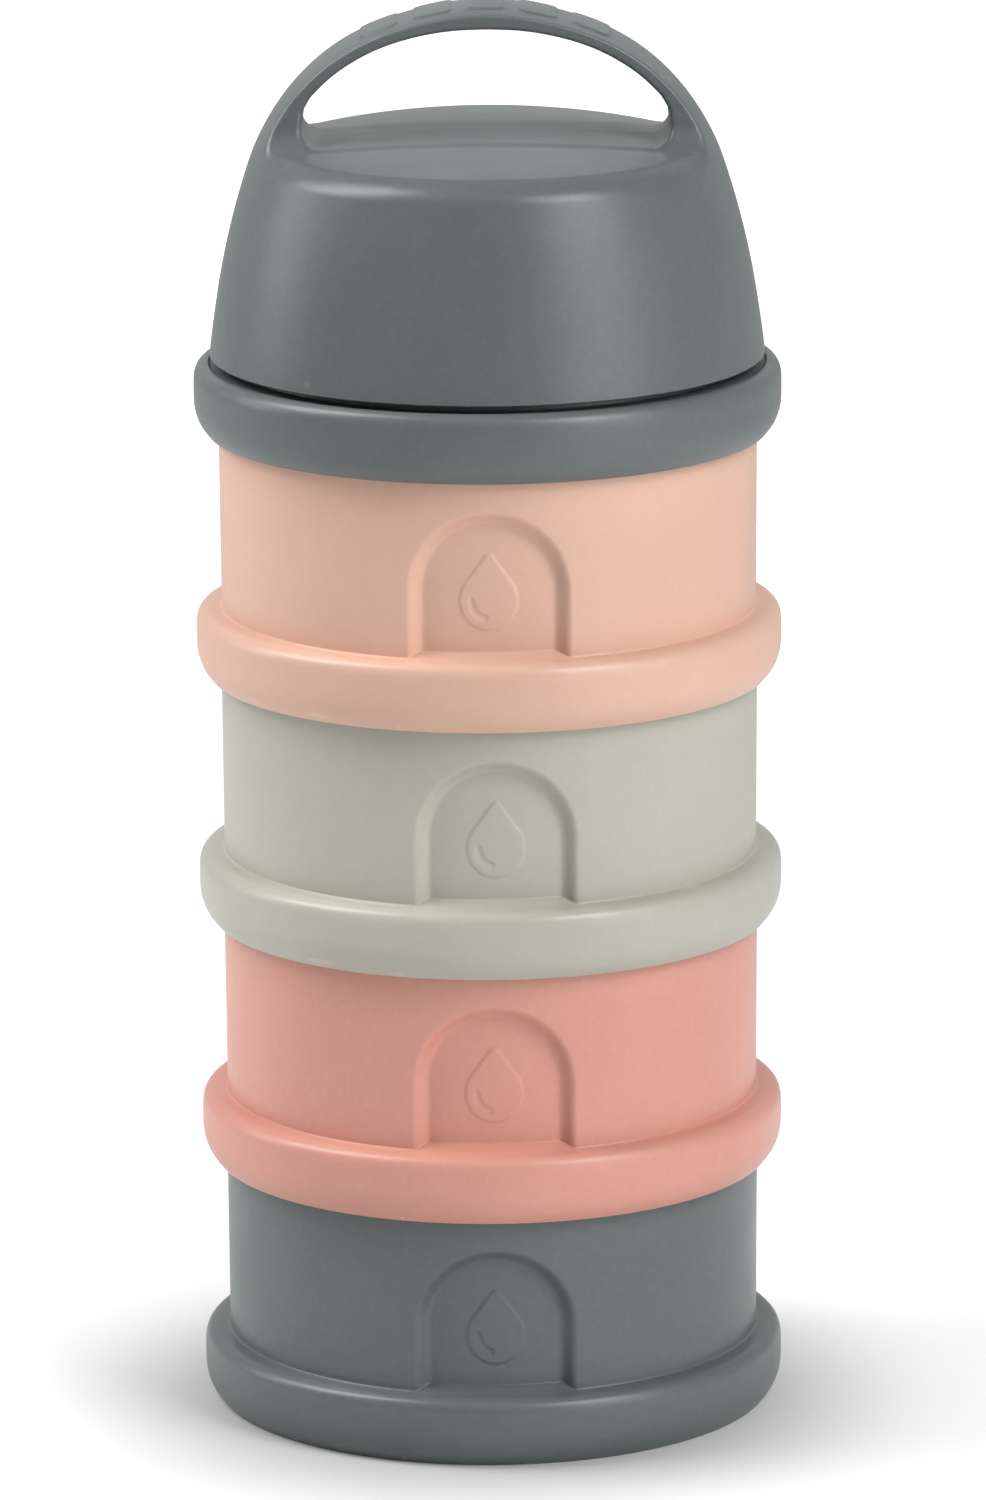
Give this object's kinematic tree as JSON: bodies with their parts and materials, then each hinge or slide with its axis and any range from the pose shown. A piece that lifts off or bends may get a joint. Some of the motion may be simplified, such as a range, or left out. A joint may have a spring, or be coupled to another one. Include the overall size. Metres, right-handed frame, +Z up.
{
  "type": "formula dispenser",
  "caption": "Tall round stack of screw-together baby formula canisters with a funnel lid and a domed overcap with an integral carry handle.",
  "frame": {"origin": "centre of the bottom face of the lowest canister's grip ring, on the axis of the stack", "axes": "+Z up the stack; -Y is the front, where the arched recesses are; the handle strap runs along X"},
  "size_m": [0.089, 0.089, 0.2168],
  "materials": {
    "slate_plastic": "satin moulded polypropylene, grey with a green cast",
    "peach_plastic": "satin moulded polypropylene, peach",
    "sage_plastic": "satin moulded polypropylene, pale sage",
    "coral_plastic": "satin moulded polypropylene, terracotta coral",
    "silicone": "translucent white silicone, matt"
  },
  "bodies": {
    "base": {"canister_4": "slate_plastic", "gasket_4": "silicone"},
    "seal_3": {"gasket_3": "silicone"},
    "can_3": {"canister_3": "coral_plastic"},
    "seal_2": {"gasket_2": "silicone"},
    "can_2": {"canister_2": "sage_plastic"},
    "seal_1": {"gasket_1": "silicone"},
    "can_1": {"canister_1": "peach_plastic"},
    "lid_seal": {"lid_gasket": "silicone"},
    "lid": {"spout_lid": "slate_plastic"},
    "cap_seal": {"spout_seal": "silicone"},
    "cap": {"handle_cap": "slate_plastic"}
  },
  "joints": [
    {"name": "canister_3_lift", "type": "slide", "parent": "base", "child": "seal_3", "axis": [0, 0, 1], "range_m": [0, 0.0081]},
    {"name": "canister_3_twist", "type": "hinge", "parent": "seal_3", "child": "can_3", "pos_m": [0, 0, 0.03783], "axis": [0, 0, 1], "range_deg": [0, 120]},
    {"name": "canister_2_lift", "type": "slide", "parent": "can_3", "child": "seal_2", "axis": [0, 0, 1], "range_m": [0, 0.0081]},
    {"name": "canister_2_twist", "type": "hinge", "parent": "seal_2", "child": "can_2", "pos_m": [0, 0, 0.07566], "axis": [0, 0, 1], "range_deg": [0, 120]},
    {"name": "canister_1_lift", "type": "slide", "parent": "can_2", "child": "seal_1", "axis": [0, 0, 1], "range_m": [0, 0.0081]},
    {"name": "canister_1_twist", "type": "hinge", "parent": "seal_1", "child": "can_1", "pos_m": [0, 0, 0.11349], "axis": [0, 0, 1], "range_deg": [0, 120]},
    {"name": "lid_lift", "type": "slide", "parent": "can_1", "child": "lid_seal", "axis": [0, 0, 1], "range_m": [0, 0.0081]},
    {"name": "lid_twist", "type": "hinge", "parent": "lid_seal", "child": "lid", "pos_m": [0, 0, 0.15116], "axis": [0, 0, 1], "range_deg": [0, 120]},
    {"name": "cap_lift", "type": "slide", "parent": "lid", "child": "cap_seal", "axis": [0, 0, 1], "range_m": [0, 0.0081]},
    {"name": "cap_twist", "type": "hinge", "parent": "cap_seal", "child": "cap", "pos_m": [0, 0, 0.16265], "axis": [0, 0, 1], "range_deg": [0, 120]}
  ],
  "couplings": [
    {"joint": "canister_3_lift", "follows": "canister_3_twist", "m_per_rad": 0.0038197},
    {"joint": "canister_2_lift", "follows": "canister_2_twist", "m_per_rad": 0.0038197},
    {"joint": "canister_1_lift", "follows": "canister_1_twist", "m_per_rad": 0.0038197},
    {"joint": "lid_lift", "follows": "lid_twist", "m_per_rad": 0.0038197},
    {"joint": "cap_lift", "follows": "cap_twist", "m_per_rad": 0.0038197}
  ]
}
